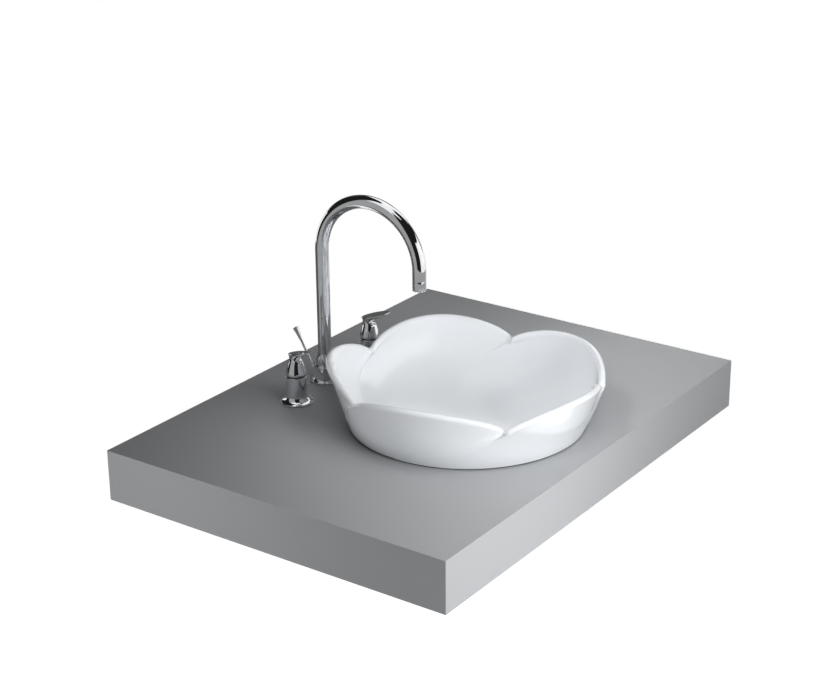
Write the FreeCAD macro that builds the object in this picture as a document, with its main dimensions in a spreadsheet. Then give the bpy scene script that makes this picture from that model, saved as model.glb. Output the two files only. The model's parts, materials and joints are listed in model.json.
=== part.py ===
# Countertop basin: a bowl of five lapped petals let into a stone counter, with a swivel spout,
# two quarter-turn valves and a pop-up waste worked by a lift rod behind the spout.
# Millimetres, +Z up, X along the wall, +Y towards the wall. The origin is the centre of the
# counter's underside.
import FreeCAD
import Part
import Sketcher
import math
import os
import re

X_AXIS = (1, 0, 0)
Y_AXIS = (0, 1, 0)
Z_AXIS = (0, 0, 1)
EVEN_AXIS = (1, 1, 1)

doc = FreeCAD.newDocument("CountertopBasin")
sheet = doc.addObject("Spreadsheet::Sheet", "Sizes")

# Driving dimensions
SIZES = {
    # Counter: a sheet with mitred aprons
    "counter_width": 820,
    "counter_depth": 600,
    "counter_height": 80,
    "counter_sheet": 20,
    # Places on the counter
    "fixture_x": -19.5,
    "bowl_y": -72.5,
    "spout_setback": 102,
    "handle_setback": 120,
    "handle_offset": 95,
    # Bowl
    "petal_count": 5,
    "petal_angle": 265.2,
    "notch_radius": 196,
    "notch_height": 61.5,
    "petal_bulge": 11.3,
    "petal_rise": 31.8,
    "petal_crown": 0.64,
    "petal_lap": 3.6,
    "rim_lean": 6.4,
    "lean_angle": 160.8,
    "notch_gap": 1.0,
    "rim_round": 5.5,
    "foot_inset": 15,
    "outer_twist": 16,
    "inner_twist": 36,
    "petal_fade": 48,
    "bowl_depth": 50,
    "bowl_curve": 1.25,
    "floor_radius": 45,
    "hip_swell": 3.2,
    "floor_thickness": 12,
    "cutout_clear": 2,
    "seal_thickness": 2,
    "seal_setback": 2,
    "seal_inset": 1,
    # Clearances
    "bond_gap": 0.05,
    "thread_clear": 0.15,
    "running_clear": 0.35,
    "deck_gasket": 1,
    # Waste
    "drain_clear": 1.5,
    "waste_flange_radius": 32,
    "waste_flange_thickness": 3,
    "flange_bevel": 1.2,
    "flange_seal": 1.5,
    "waste_opening": 20,
    "waste_seat_depth": 5,
    "waste_neck_radius": 18.3,
    "waste_neck_length": 20,
    "waste_bore": 15.5,
    "waste_thread_radius": 20.955,
    "waste_body_length": 89,
    "waste_tail_radius": 16,
    "waste_tail_wall": 1.2,
    "waste_tail_length": 40,
    "waste_gasket_radius": 36,
    "waste_gasket_taper": 8,
    "waste_gasket_height": 6,
    "waste_washer_height": 2,
    "waste_nut_radius": 32,
    "waste_nut_height": 12,
    # Side port and pivot rod
    "port_margin": 3,
    "port_radius": 12.5,
    "port_reach": 36,
    "port_throat": 6.6,
    "ball_radius": 6.5,
    "ball_offset": 30,
    "seat_length": 10,
    "seat_wall": 2.6,
    "pivot_nut_radius": 16,
    "pivot_nut_grip": 9,
    "pivot_nut_end": 3,
    "pivot_nut_hole": 4.8,
    "pivot_rod_radius": 2.5,
    "pivot_tilt": 6.7,
    "pivot_overrun": 14,
    # Plug
    "plug_radius": 27,
    "plug_edge": 1.4,
    "plug_crown": 4,
    "plug_gap": 0.5,
    "plug_hub_radius": 13.8,
    "plug_hub_height": 5,
    "plug_seal_radius": 17.6,
    "plug_seal_height": 2.8,
    "plug_stem_radius": 5,
    # Lift rod and strap
    "lift_entry": 15.7,
    "lift_tilt": 29,
    "lift_rod_radius": 2,
    "lift_rise": 65.5,
    "lift_drop": 95,
    "knob_length": 22,
    "knob_neck": 2.35,
    "knob_radius": 5,
    "knob_socket": 14,
    "knob_crown": 0.8,
    "strap_width": 12,
    "strap_plate": 1.5,
    "strap_tail": 14,
    "strap_hole": 4.7,
    "strap_slack": 0.45,
    "strap_head": 14,
    "strap_cheek": 3,
    "strap_screw_radius": 2,
    "strap_screw_head": 5,
    "strap_screw_grip": 4,
    # Spout
    "tube_radius": 10.5,
    "tube_wall": 1.5,
    "spout_rise": 218,
    "arch_radius": 92,
    "outlet_drop": 30,
    "aerator_length": 17,
    "aerator_spigot": 6,
    "aerator_wall": 1.6,
    "aerator_edge": 0.8,
    "aerator_insert_height": 9,
    "aerator_hole": 1.2,
    "aerator_hole_ring": 4.5,
    "aerator_washer_height": 1.5,
    "spout_flange_radius": 26,
    "spout_body_radius": 19.5,
    "spout_body_height": 26,
    "spout_floor": 12,
    "collar_height": 16,
    "collar_foot_radius": 16,
    "collar_top_radius": 14.5,
    "collar_bead_radius": 13.4,
    "collar_bead_height": 2,
    "insert_bore": 6,
    "insert_reach": 14,
    "ring_section": 0.8,
    "ring_spacing": 5,
    "glide_radius": 13,
    "glide_height": 1,
    # Spout fixing
    "spout_hole": 19,
    "stud_offset": 10.5,
    "stud_radius": 4,
    "stud_grip": 8,
    "stud_drop": 52,
    "clamp_radius": 27,
    "clamp_slot": 9.5,
    "clamp_slot_start": 3.5,
    "clamp_rubber_height": 3,
    "clamp_plate_height": 3,
    "clamp_nut_radius": 7.5,
    "clamp_nut_height": 6.5,
    "pipe_radius": 6,
    "pipe_wall": 1.2,
    "pipe_grip": 9,
    # Mixing tee and link pipes
    "link_drop": 70,
    "tee_radius": 9,
    "tee_height": 28,
    "arm_radius": 8.5,
    "arm_reach": 20,
    "outlet_reach": 24,
    "link_grip": 8,
    "link_nut_radius": 12,
    "link_nut_length": 10,
    # Valves
    "bell_radius": 25.2,
    "bell_lip": 2,
    "bell_flare_height": 10,
    "bell_flare": 10,
    "sleeve_radius": 16.5,
    "sleeve_height": 43,
    "sleeve_wall": 2.2,
    "cap_edge": 0.8,
    "valve_glide_height": 1.5,
    "valve_glide_setback": 1.3,
    "valve_glide_bore": 7.5,
    "shank_radius": 13,
    "shank_clear": 1.5,
    "shank_collar_radius": 18,
    "shank_collar_height": 3,
    "shank_top": 36,
    "valve_drop": 95,
    "inlet_thread_radius": 10.478,
    "inlet_length": 15,
    "valve_bore": 6,
    "cartridge_radius": 10.5,
    "cartridge_foot": 20,
    "cartridge_top": 41.5,
    "disc_radius": 7,
    "disc_foot": 24,
    "disc_height": 6,
    "spindle_radius": 4,
    "spindle_top": 61,
    "valve_washer_radius": 24,
    "valve_washer_height": 3,
    "valve_nut_radius": 21,
    "valve_nut_height": 9,
    # Handles
    "cap_foot_radius": 15.8,
    "cap_foot_height": 2,
    "cap_neck_radius": 11,
    "cap_neck_height": 71,
    "cap_round": 55,
    "lever_reach": 35,
    "lever_back": 14,
    "lever_width": 27,
    "lever_tilt": 13.8,
    "lever_height": 84,
    "lever_edge": 2.2,
    "lever_bevel": 1,
    "lever_waist": 75,
    "lever_splay": 18,
    "grub_height": 55,
    "grub_radius": 2.5,
}

# Sizes that follow from the driving ones
DERIVED = {
    "spout_y": "counter_depth / 2 - spout_setback",
    "handle_y": "counter_depth / 2 - handle_setback",
    "cutout_radius": "hip_radius + cutout_clear",
    "bowl_seat": "counter_height + seal_thickness",
    "floor_level": "counter_height - bowl_depth",
    "under_level": "floor_level - floor_thickness",
    "foot_radius": "notch_radius - foot_inset",
    "round_radius": "notch_radius + petal_bulge / 2 - rim_round",
    "hip_span": "round_radius - floor_radius + hip_swell",
    "hip_top": "counter_height + notch_height + petal_rise / 2 - rim_round",
    "hip_share": "1 - ((hip_top - bowl_seat) / (hip_top - under_level)) ^ 2",
    "hip_radius": "floor_radius + hip_span * hip_share ^ (bowl_curve / 2)",
    "drain_radius": "waste_thread_radius + drain_clear",
    "waste_hole": "waste_thread_radius + thread_clear",
    "flange_foot": "floor_level + flange_seal",
    "flange_top": "flange_foot + waste_flange_thickness",
    "waste_top": "floor_level - flange_seal",
    "waste_foot": "waste_top - waste_body_length",
    "washer_foot": "under_level - waste_gasket_height - waste_washer_height",
    "ball_y": "bowl_y + ball_offset",
    "port_depth": "waste_body_length + flange_seal - port_radius - port_margin",
    "ball_level": "floor_level - port_depth",
    "seat_bore": "ball_radius + running_clear",
    "port_bore": "seat_bore + seat_wall + thread_clear",
    "plug_level": "flange_top + plug_gap",
    "stem_lean": "(ball_offset - plug_stem_radius) * tan(pivot_tilt)",
    "stem_foot": "ball_level - stem_lean + pivot_rod_radius / cos(pivot_tilt) + running_clear",
    "lift_y": "spout_y + lift_entry",
    "tie_run": "tan(pivot_tilt) * (lift_y - ball_y) - (counter_height - ball_level)",
    "tie_drop": "-tie_run / (cos(lift_tilt) - tan(pivot_tilt) * sin(lift_tilt))",
    "tie_lean": "(lift_rod_radius + strap_plate / 2) * tan(lift_tilt + pivot_tilt)",
    "tie_hole": "tie_drop + tie_lean + strap_slack",
    "tie_reach": "(lift_y - tie_drop * sin(lift_tilt) - ball_y) / cos(pivot_tilt)",
    "deck": "counter_height + deck_gasket",
    "under_deck": "counter_height - counter_sheet",
    "tube_bore": "tube_radius - tube_wall",
    "insert_radius": "tube_bore - bond_gap",
    "journal_bore": "insert_radius + running_clear",
    "spring_level": "counter_height + spout_rise",
    "tip_level": "spring_level - outlet_drop",
    "tube_foot": "spout_body_height + glide_height + running_clear",
    "clamp_foot": "under_deck - clamp_rubber_height - clamp_plate_height",
    "pipe_bore": "pipe_radius - pipe_wall",
    "link_level": "counter_height - link_drop",
    "tee_x": "fixture_x + stud_offset",
    "sleeve_bore": "sleeve_radius - sleeve_wall",
    "cap_foot": "sleeve_height + valve_glide_height + running_clear",
    "lever_middle": "(lever_reach - lever_back) / 2",
    "lever_half": "(lever_reach + lever_back) / 2",
}

WORD = re.compile(r"[a-z][a-z_]*")


def formula(text):
    """The text with each size named in it pointing at its cell in the sheet."""
    def swap(match):
        word = match.group(0)
        if word in DERIVED:
            return "(" + formula(DERIVED[word]) + ")"
        return "Sizes." + word if word in SIZES else word
    return WORD.sub(swap, text)


for row, (alias, value) in enumerate(SIZES.items(), start=1):
    sheet.set("A%d" % row, alias)
    sheet.set("B%d" % row, str(value))
    sheet.setAlias("B%d" % row, alias)
doc.recompute()

probe = doc.addObject("App::FeaturePython", "Probe")
probe.addProperty("App::PropertyFloat", "Value", "Probe", "value of one formula")


def number(text):
    """The present value of a formula in millimetres or degrees."""
    probe.setExpression("Value", formula(text))
    probe.recompute()
    return probe.Value


nodes = []


def node(thing, label):
    """Name a finished sub-part and put it on the list of pieces to write."""
    thing.Label = label
    nodes.append(thing)
    return thing


def place(thing, x="0", y="0", z="0", axis=None, angle=None):
    """Turn a piece about an axis through its own origin, then set it down at x, y, z."""
    if axis is not None:
        turn = FreeCAD.Rotation(FreeCAD.Vector(*axis), number(angle) or 360)
        thing.Placement = FreeCAD.Placement(FreeCAD.Vector(), turn)
        thing.setExpression("Placement.Rotation.Angle", formula(angle))
    for key, text in zip("xyz", (x, y, z)):
        thing.setExpression("Placement.Base." + key, formula(text))
    return thing


def bind(thing, **texts):
    """Bind properties of a document object to formulas."""
    for key, text in texts.items():
        thing.setExpression(key, formula(text))
    return thing


def arc_between(start, end, radius):
    """The arc from start to end that turns left, or right for a negative radius."""
    chord = end - start
    half = chord.Length / 2
    lift = math.sqrt(max(radius * radius - half * half, 0.0))
    left = FreeCAD.Vector(-chord.y, chord.x, 0).normalize()
    centre = start + chord / 2 + left * math.copysign(lift, radius)
    first, last = (start, end) if radius > 0 else (end, start)
    angles = [math.atan2(p.y - centre.y, p.x - centre.x) for p in (first, last)]
    circle = Part.Circle(centre, FreeCAD.Vector(*Z_AXIS), abs(radius))
    return Part.ArcOfCircle(circle, angles[0], angles[1])


def turned(name, profile):
    """A body of revolution about its own Z axis from a closed profile of (radius, height) formulas.

    A third entry is the radius of the arc that leads to that point, after "+" for an arc that turns
    left on its way and "-" for one that turns right.
    """
    body = doc.addObject("PartDesign::Body", name)
    plane = [part for part in body.Origin.OriginFeatures if part.Role == "XZ_Plane"][0]
    sketch = body.newObject("Sketcher::SketchObject", name + "_profile")
    sketch.AttachmentSupport = (plane, "")
    sketch.MapMode = "FlatFace"
    points = [FreeCAD.Vector(number(p[0]), number(p[1]), 0) for p in profile]
    ends = []
    for here in range(len(points)):
        there = (here + 1) % len(points)
        arc = profile[there][2] if len(profile[there]) > 2 else None
        if arc is None:
            edge = sketch.addGeometry(Part.LineSegment(points[here], points[there]), False)
            ends.append((edge, 1, 2))
        else:
            radius = math.copysign(number(arc[1:]), -1 if arc[0] == "-" else 1)
            edge = sketch.addGeometry(arc_between(points[here], points[there], radius), False)
            ends.append((edge, 1, 2) if radius > 0 else (edge, 2, 1))
            index = sketch.addConstraint(Sketcher.Constraint("Radius", edge, abs(radius)))
            sketch.setExpression("Constraints[%d]" % index, formula(arc[1:]))
    for here, point in enumerate(points):
        edge, first, last = ends[here]
        before = ends[here - 1]
        sketch.addConstraint(Sketcher.Constraint("Coincident", before[0], before[2], edge, first))
        for kind, line, value, text in (("DistanceX", -2, point.x, profile[here][0]),
                                        ("DistanceY", -1, point.y, profile[here][1])):
            if text == "0":
                sketch.addConstraint(Sketcher.Constraint("PointOnObject", edge, first, line))
            else:
                rule = Sketcher.Constraint(kind, -1, 1, edge, first, value)
                index = sketch.addConstraint(rule)
                sketch.setExpression("Constraints[%d]" % index, formula(text))
    turn = body.newObject("PartDesign::Revolution", name + "_turn")
    turn.Profile = sketch
    turn.ReferenceAxis = (sketch, ["V_Axis"])
    turn.Angle = 360
    body.Tip = turn
    return body


def ring(name, inner, outer, height):
    """A plain ring standing on its own XY plane."""
    return turned(name, [(inner, "0"), (outer, "0"), (outer, height), (inner, height)])


def cylinder(name, radius, height):
    return bind(doc.addObject("Part::Cylinder", name), Radius=radius, Height=height)


def box(name, length, width, height):
    return bind(doc.addObject("Part::Box", name), Length=length, Width=width, Height=height)


def fuse(name, shapes):
    result = doc.addObject("Part::MultiFuse", name)
    result.Shapes = shapes
    return result


def cut(name, base, tools):
    result = doc.addObject("Part::Cut", name)
    result.Base = base
    result.Tool = tools[0] if len(tools) == 1 else fuse(name + "_tools", tools)
    return result


def group(name, pieces):
    """Identical pieces that share one node as separate solids."""
    result = doc.addObject("Part::Compound", name)
    result.Links = pieces
    return result


def hex_nut(name, radius, hole, height):
    """A hexagon nut standing on its own XY plane; radius is taken across its corners."""
    blank = bind(doc.addObject("Part::Prism", name + "_blank"), Circumradius=radius, Height=height)
    blank.Polygon = 6
    return cut(name, blank, [cylinder(name + "_hole", hole, height)])


# Counter
def apron(label, length, x, y, angle):
    """One drop edge, mitred along its top and at both ends, its outer face first along its own Y."""
    board = bind(doc.addObject("Part::Wedge", label), Xmin="-" + length + " / 2", Xmax=length + " / 2",
                 Ymin="0", Ymax="counter_sheet", Zmin="0", Zmax="counter_height",
                 X2min="counter_sheet - " + length + " / 2", X2max=length + " / 2 - counter_sheet",
                 Z2min="0", Z2max="counter_height - counter_sheet")
    node(place(board, x, y, "0", Z_AXIS, angle), label)


def counter():
    blank = bind(doc.addObject("Part::Wedge", "counter_blank"),
                 Xmin="counter_sheet - counter_width / 2", Xmax="counter_width / 2 - counter_sheet",
                 Zmin="counter_sheet - counter_depth / 2", Zmax="counter_depth / 2 - counter_sheet",
                 X2min="-counter_width / 2", X2max="counter_width / 2",
                 Z2min="-counter_depth / 2", Z2max="counter_depth / 2", Ymin="0", Ymax="counter_sheet")
    place(blank, z="under_deck", axis=X_AXIS, angle="90")
    holes = [("bowl", "cutout_radius", "fixture_x", "bowl_y"),
             ("spout", "spout_hole", "fixture_x", "spout_y"),
             ("hot", "shank_radius + shank_clear", "fixture_x - handle_offset", "handle_y"),
             ("cold", "shank_radius + shank_clear", "fixture_x + handle_offset", "handle_y")]
    tools = [place(cylinder(name + "_cutout", radius, "counter_sheet"), x, y, "under_deck")
             for name, radius, x, y in holes]
    node(cut("counter_sheet_cut", blank, tools), "counter_top")
    apron("front_apron", "counter_width", "0", "-counter_depth / 2", "360")
    apron("rear_apron", "counter_width", "0", "counter_depth / 2", "180")
    apron("left_apron", "counter_depth", "-counter_width / 2", "0", "-90")
    apron("right_apron", "counter_depth", "counter_width / 2", "0", "90")


# Bowl
COLUMNS_PER_PETAL = 17
OUTER_ROWS = 8
RIM_ROWS = 6
INNER_ROWS = 14
HIP_POINTS = 12


def rim_at(share):
    """Rim centre radius without its lap, and rim top height, across a petal from -1 to 1."""
    arch = max(math.cos(math.pi * share / 2), 0.0)
    radius = number("notch_radius") + number("petal_bulge") * arch
    top = number("counter_height + notch_height") + number("petal_rise") * arch ** number("petal_crown")
    return radius, top


def bowl_column(middle, share):
    """Control points of one line up the outside of a petal, over its rim and down to the floor."""
    seat, floor = number("bowl_seat"), number("floor_level")
    foot, floor_radius = number("foot_radius"), number("floor_radius")
    rim, lap = number("rim_round"), number("petal_lap") * share
    half = 180 / number("petal_count") - number("notch_gap") / 2
    angle = middle - half * share
    radius, top = rim_at(share)
    level = top - rim + number("rim_lean") * math.cos(math.radians(angle - number("lean_angle")))
    points = []
    for row in range(OUTER_ROWS):
        up = row / (OUTER_ROWS - 1)
        points.append((foot + (radius + lap + rim - foot) * up, seat + (level - seat) * up,
                       angle - number("outer_twist") * (1 - up)))
    for row in range(1, RIM_ROWS):
        roll = math.pi * row / RIM_ROWS
        points.append((radius + lap + rim * math.cos(roll), level + rim * math.sin(roll), angle))
    for row in range(INNER_ROWS):
        down = row / (INNER_ROWS - 1)
        sweep = math.pi / 2 * down
        fade = max(0.0, 1 - math.degrees(sweep) / number("petal_fade")) ** 2
        span = max(math.cos(sweep), 0.0) ** number("bowl_curve")
        wide = number("round_radius") + (radius + lap - rim - number("round_radius")) * fade
        high = number("hip_top") + (level - number("hip_top")) * fade
        points.append((floor_radius + (wide - floor_radius) * span, high - (high - floor) * math.sin(sweep),
                       angle + number("inner_twist") * (1 - (1 - down) ** 2)))
    return [FreeCAD.Vector(r * math.cos(math.radians(a)), r * math.sin(math.radians(a)), z)
            for r, z, a in points]


def petal_wall():
    """One smooth face for the petals, from the foot's edge over the rim to the floor's edge."""
    count = int(number("petal_count"))
    columns = []
    for petal in range(count):
        middle = number("petal_angle") + 360 / count * petal
        for step in range(COLUMNS_PER_PETAL):
            share = math.sin(math.pi / 2 * (1 - 2 * step / (COLUMNS_PER_PETAL - 1)))
            columns.append(bowl_column(middle, share))
    around, up = len(columns), len(columns[0])
    spans = up - 3
    surface = Part.BSplineSurface()
    surface.buildFromPolesMultsKnots(columns, [1] * (around + 1), [4] + [1] * (spans - 1) + [4],
                                     list(range(around + 1)), list(range(spans + 1)), True, False, 3, 3)
    return surface.toShape()


def hip_wall():
    """The part of the bowl below the counter, turned from its profile."""
    top, under, seat = number("hip_top"), number("under_level"), number("bowl_seat")
    start = math.asin((top - seat) / (top - under))
    points = []
    for step in range(HIP_POINTS):
        sweep = start + (math.pi / 2 - start) * step / (HIP_POINTS - 1)
        span = max(math.cos(sweep), 0.0) ** number("bowl_curve")
        radius = number("floor_radius") + number("hip_span") * span
        points.append(FreeCAD.Vector(radius, 0, top - (top - under) * math.sin(sweep)))
    curve = Part.BSplineCurve()
    curve.interpolate(points)
    return curve.toShape().revolve(FreeCAD.Vector(), FreeCAD.Vector(*Z_AXIS), 360)


def level_face(edges):
    return Part.makeFace([Part.Wire([edge]) for edge in edges], "Part::FaceMakerBullseye")


def closed_edges(face):
    """The round edges of a face, the highest first."""
    loops = [edge for edge in face.Edges if edge.isClosed()]
    return sorted(loops, key=lambda edge: -edge.BoundBox.ZMax)


def basin():
    petals, hip = petal_wall(), hip_wall()
    foot_edge, floor_edge = closed_edges(petals)
    hip_edge, under_edge = closed_edges(hip)
    faces = [petals, hip, level_face([foot_edge, hip_edge])]
    faces += [level_face([floor_edge]), level_face([under_edge])]
    shell = Part.makeShell(faces)
    shell.sewShape()
    solid = Part.makeSolid(shell)
    if solid.Volume < 0:
        solid.reverse()
    depth = 3 * number("floor_thickness")
    start = FreeCAD.Vector(0, 0, number("under_level") - number("floor_thickness"))
    bowl = doc.addObject("Part::Feature", "basin_bowl")
    bowl.Shape = solid.cut(Part.makeCylinder(number("drain_radius"), depth, start))
    node(place(bowl, "fixture_x", "bowl_y"), "basin_bowl")
    seal = ring("bowl_seal", "cutout_radius + seal_inset", "foot_radius - seal_setback",
                "seal_thickness")
    node(place(seal, "fixture_x", "bowl_y", "counter_height"), "bowl_seal")


# Waste
def at_drain(thing, label, z):
    node(place(thing, "fixture_x", "bowl_y", z), label)


def at_port(thing, label, reach):
    """Set a piece turned about Z down on the side port's axis, pointing to the wall."""
    node(place(thing, "fixture_x", "bowl_y + " + reach, "ball_level", X_AXIS, "-90"), label)


def waste():
    neck, thick = "waste_neck_length", "waste_neck_length + waste_flange_thickness"
    flange = turned("waste_flange", [
        ("waste_bore", "0"), ("waste_neck_radius", "0"), ("waste_neck_radius", neck),
        ("waste_flange_radius", neck), ("waste_flange_radius", thick + " - flange_bevel"),
        ("waste_flange_radius - flange_bevel", thick), ("waste_opening", thick),
        ("waste_bore", thick + " - waste_seat_depth")])
    at_drain(flange, "waste_flange", "flange_foot - waste_neck_length")
    seal = ring("waste_flange_seal", "waste_neck_radius + thread_clear",
                "waste_flange_radius - flange_bevel", "flange_seal")
    at_drain(seal, "waste_flange_seal", "floor_level")

    barrel = cylinder("waste_barrel", "waste_thread_radius", "waste_body_length")
    tail = place(cylinder("waste_tail", "waste_tail_radius", "waste_tail_length"), z="-waste_tail_length")
    port = place(cylinder("waste_port", "port_radius", "port_reach"), z="ball_level - waste_foot",
                 axis=X_AXIS, angle="-90")
    socket = "waste_neck_length + flange_seal"
    tools = [cylinder("waste_way", "waste_bore", "waste_body_length"),
             place(cylinder("waste_tail_way", "waste_tail_radius - waste_tail_wall", "waste_tail_length"),
                   z="-waste_tail_length"),
             place(cylinder("waste_socket", "waste_neck_radius + thread_clear", socket),
                   z="waste_body_length - " + socket),
             place(cylinder("waste_throat", "port_throat", "port_reach"), z="ball_level - waste_foot",
                   axis=X_AXIS, angle="-90"),
             place(cylinder("waste_port_bore", "port_bore", "port_reach"),
                   "0", "ball_offset - seat_length / 2", "ball_level - waste_foot", X_AXIS, "-90")]
    body = cut("waste_body_cut", fuse("waste_body_blank", [barrel, tail, port]), tools)
    at_drain(body, "waste_body", "waste_foot")

    gasket = turned("waste_gasket", [
        ("waste_hole", "0"), ("waste_gasket_radius - waste_gasket_taper", "0"),
        ("waste_gasket_radius", "waste_gasket_height"), ("waste_hole", "waste_gasket_height")])
    at_drain(gasket, "waste_gasket", "under_level - waste_gasket_height")
    washer = ring("waste_washer", "waste_hole", "waste_gasket_radius - waste_gasket_taper",
                  "waste_washer_height")
    at_drain(washer, "waste_washer", "washer_foot")
    nut = hex_nut("waste_nut", "waste_nut_radius", "waste_hole", "waste_nut_height")
    at_drain(nut, "waste_nut", "washer_foot - waste_nut_height")

    seat = ring("pivot_seat", "seat_bore", "seat_bore + seat_wall", "seat_length")
    at_port(seat, "pivot_seat", "ball_offset - seat_length / 2")
    grip = "pivot_nut_grip"
    end = "pivot_nut_grip + pivot_nut_end"
    cap = turned("pivot_nut", [
        ("port_radius + thread_clear", "0"), ("pivot_nut_radius", "0"), ("pivot_nut_radius", end),
        ("pivot_nut_hole", end), ("pivot_nut_hole", grip), ("port_radius + thread_clear", grip)])
    at_port(cap, "pivot_nut", "port_reach - pivot_nut_grip")


def plug():
    crown = "(plug_radius ^ 2 + plug_crown ^ 2) / (2 * plug_crown)"
    cap = turned("plug_cap", [("0", "0"), ("plug_radius", "0"), ("plug_radius", "plug_edge"),
                              ("0", "plug_edge + plug_crown", "+" + crown)])
    at_drain(cap, "plug_cap", "plug_level")
    seal = ring("plug_seal", "plug_hub_radius + bond_gap", "plug_seal_radius", "plug_seal_height")
    at_drain(seal, "plug_seal", "plug_level - plug_seal_height")
    long = "plug_level - stem_foot"
    stem = turned("plug_stem", [("0", "0"), ("plug_stem_radius", "0"),
                                ("plug_stem_radius", long + " - plug_hub_height"),
                                ("plug_hub_radius", long + " - plug_hub_height"),
                                ("plug_hub_radius", long), ("0", long)])
    at_drain(stem, "plug_stem", "stem_foot")


def pivot():
    long = "ball_offset / cos(pivot_tilt) + tie_reach + pivot_overrun"
    rod = place(cylinder("pivot_rod_bar", "pivot_rod_radius", long), z="-ball_offset / cos(pivot_tilt)")
    ball = bind(doc.addObject("Part::Sphere", "pivot_ball"), Radius="ball_radius")
    rocker = fuse("pivot_rod_ball", [rod, ball])
    node(place(rocker, "fixture_x", "ball_y", "ball_level", X_AXIS, "pivot_tilt - 90"), "pivot_rod")


# Lift rod, in its own frame: Z runs up the rod from the counter's top, Y is square to the strap
def on_lift(thing, label):
    node(place(thing, "fixture_x", "lift_y", "counter_height", X_AXIS, "-lift_tilt"), label)


def lift():
    long = "lift_drop + lift_rise + knob_socket"
    rod = place(cylinder("lift_rod_bar", "lift_rod_radius", long), z="-lift_drop")
    on_lift(group("lift_rod", [rod]), "lift_rod")
    knob = turned("lift_knob_turned", [
        ("lift_rod_radius + bond_gap", "0"), ("knob_neck", "0"),
        ("knob_radius", "knob_length - knob_crown"),
        ("0", "knob_length"), ("0", "knob_socket"), ("lift_rod_radius + bond_gap", "knob_socket")])
    on_lift(group("lift_knob", [place(knob, z="lift_rise")]), "lift_knob")

    wide, cheek = "strap_width", "lift_rod_radius + strap_cheek"
    long = "tie_drop + strap_tail - lift_drop + strap_head"
    plate = place(box("strap_plate", wide, "strap_plate", long), "-strap_width / 2",
                  "-lift_rod_radius - strap_plate", "-tie_drop - strap_tail")
    head = place(box("strap_head", wide, "lift_rod_radius + strap_plate + " + cheek, "strap_head"),
                 "-strap_width / 2", "-lift_rod_radius - strap_plate", "-lift_drop")
    tie = place(cylinder("strap_tie_hole", "strap_hole", "4 * strap_plate"),
                y="-lift_rod_radius - 3 * strap_plate", z="-tie_hole", axis=X_AXIS, angle="-90")
    bore = place(cylinder("strap_rod_hole", "lift_rod_radius + bond_gap", "2 * strap_head"),
                 z="-lift_drop - strap_head / 2")
    grip = place(cylinder("strap_screw_hole", "strap_screw_radius + bond_gap", "strap_width"),
                 z="-lift_drop + strap_head / 2", axis=Y_AXIS, angle="90")
    strap = cut("strap_cut", fuse("strap_blank", [plate, head]), [tie, bore, grip])
    on_lift(group("lift_strap", [strap]), "lift_strap")

    reach = "strap_width / 2 - lift_rod_radius - bond_gap"
    screw = turned("strap_screw_turned", [
        ("0", "0"), ("strap_screw_radius", "0"), ("strap_screw_radius", reach),
        ("strap_screw_head", reach), ("strap_screw_head", reach + " + strap_screw_grip"),
        ("0", reach + " + strap_screw_grip")])
    place(screw, "lift_rod_radius + bond_gap", "0", "-lift_drop + strap_head / 2", Y_AXIS, "90")
    on_lift(group("strap_screw", [screw]), "strap_screw")


# Spout
def at_spout(thing, label, z, x="fixture_x"):
    node(place(thing, x, "spout_y", z), label)


def swan_neck(name, radius):
    """The bent tube's outside or bore: a straight rise, a half ring and a short drop."""
    rise = place(cylinder(name + "_rise", radius, "spring_level - deck - tube_foot"),
                 "fixture_x", "spout_y", "deck + tube_foot")
    arch = bind(doc.addObject("Part::Torus", name + "_arch"), Radius1="arch_radius", Radius2=radius,
                Angle3="180")
    place(arch, "fixture_x", "spout_y - arch_radius", "spring_level", EVEN_AXIS, "120")
    drop = place(cylinder(name + "_drop", radius, "outlet_drop - aerator_length"),
                 "fixture_x", "spout_y - 2 * arch_radius", "tip_level + aerator_length")
    return fuse(name, [rise, arch, drop])


def at_outlet(thing, label, z):
    node(place(thing, "fixture_x", "spout_y - 2 * arch_radius", z), label)


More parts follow.
